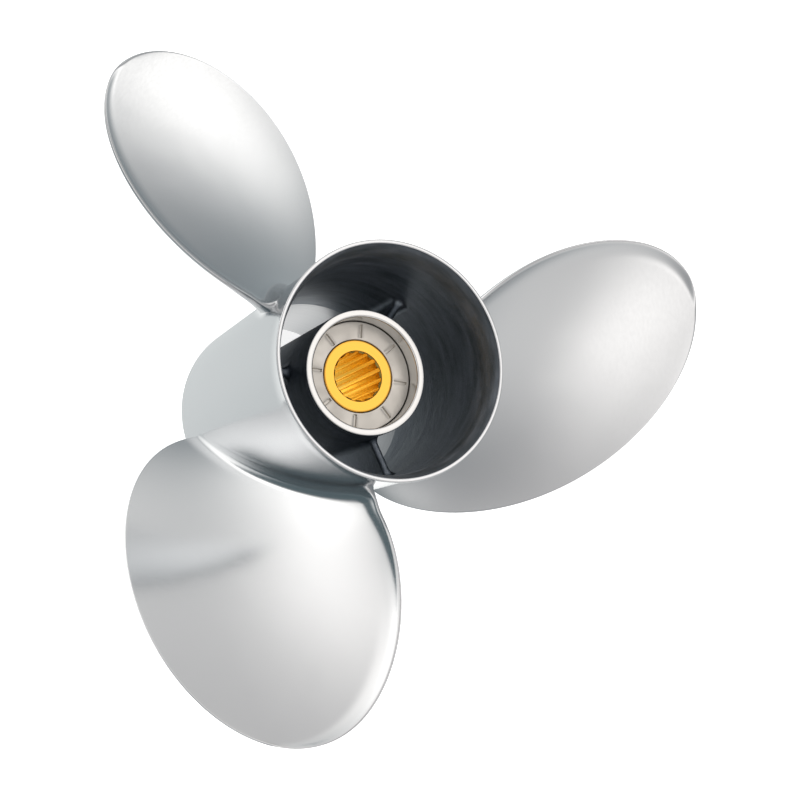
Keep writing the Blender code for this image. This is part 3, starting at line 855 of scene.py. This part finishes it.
def card_share(tree, view):
    """How much of the view the grey card fills: a round card, cut straight above and below."""
    ends = math.cos(math.radians(CARD_END)), math.cos(math.radians(CARD_FULL))
    round_part = soft_step(tree, view, towards(*CARD_MIDDLE), *ends)
    past_edge = soft_step(tree, view, towards(*CARD_EDGE_NORMAL), -CARD_EDGE_BLUR, CARD_EDGE_BLUR)
    over_foot = soft_step(tree, view, (0, 0, 1), CARD_FOOT - CARD_FOOT_BLUR, CARD_FOOT + CARD_FOOT_BLUR)
    strip = maths(tree, "MULTIPLY", maths(tree, "SUBTRACT", 1.0, past_edge), over_foot)
    return maths(tree, "MULTIPLY", round_part, strip)


def spot(tree, view, azimuth, angle, spread):
    """Bell curve exp(k cos a - k) of the angle a from a direction: exp(-1/2) at `spread`."""
    steep = 0.5 / (1 - math.cos(math.radians(spread)))
    aimed = facing(tree, view, towards(azimuth, angle))
    return maths(tree, "EXPONENT", maths(tree, "MULTIPLY_ADD", aimed, steep, -steep))


def light_tent():
    """World shader: cloth and card as a fill light, lamps on top, and plain white to the camera."""
    world = bpy.data.worlds.new("light_tent")
    world.use_nodes = True
    tree = world.node_tree
    tree.nodes.clear()
    view = add_node(tree, "ShaderNodeTexCoord").outputs["Generated"]
    lamps = 0.0
    for azimuth, angle, spread, strength in LAMPS:
        lamps = maths(tree, "MULTIPLY_ADD", spot(tree, view, azimuth, angle, spread), strength, lamps)
    card = card_share(tree, view)
    lamps = maths(tree, "MULTIPLY", lamps, maths(tree, "SUBTRACT", 1.0, card))
    height = add_node(tree, "ShaderNodeSeparateXYZ", {"Vector": view}).outputs["Z"]
    upwards = add_node(tree, "ShaderNodeMapRange", {"Value": height, "From Min": -1.0}).outputs["Result"]
    cloth = mix_colour(tree, upwards, linear(CLOTH_BELOW), linear(CLOTH_ABOVE))
    cloth = mix_colour(tree, card, cloth, linear(CARD_COLOUR))
    lamp_light = add_node(tree, "ShaderNodeBackground", {"Color": linear(LAMP_COLOUR), "Strength": lamps})
    fill_light = add_node(tree, "ShaderNodeBackground", {"Color": cloth})
    tent = add_node(tree, "ShaderNodeAddShader", {0: lamp_light.outputs[0], 1: fill_light.outputs[0]})
    plain_white = add_node(tree, "ShaderNodeBackground", {"Color": linear("#FFFFFF")})
    seen = add_node(tree, "ShaderNodeLightPath").outputs["Is Camera Ray"]
    mixed = add_node(tree, "ShaderNodeMixShader", {0: seen, 1: tent.outputs[0], 2: plain_white.outputs[0]})
    add_node(tree, "ShaderNodeOutputWorld", {"Surface": mixed.outputs[0]})
    return world


bpy.context.scene.world = light_tent()
bpy.context.scene.view_settings.view_transform = "Standard"
print(f"light tent with {len(LAMPS)} lamps and a grey card")

# %% Light table
FLOOR_REACH = 3.0
material, tree, _ = new_material("white_acrylic")
floor_finish = finish_material(material, tree, base_color=linear("#F2F2F2"), roughness=0.5,
                               emission_color=linear("#FFFFFF"), emission_strength=0.85)
corners = [(-FLOOR_REACH, -FLOOR_REACH, 0), (FLOOR_REACH, -FLOOR_REACH, 0),
           (FLOOR_REACH, FLOOR_REACH, 0), (-FLOOR_REACH, FLOOR_REACH, 0)]
floor_mesh = bpy.data.meshes.new("floor")
floor_mesh.from_pydata(corners, [], [(0, 1, 2, 3)])
floor = bpy.data.objects.new("floor", floor_mesh)
floor_mesh.materials.append(floor_finish)
bpy.context.scene.collection.objects.link(floor)
# Only the camera sees the sheet: the light that it throws on the steel is part of the tent.
floor.visible_glossy = False
floor.visible_diffuse = False
floor.visible_shadow = False
print(f"light table {2 * FLOOR_REACH:.0f} m across")
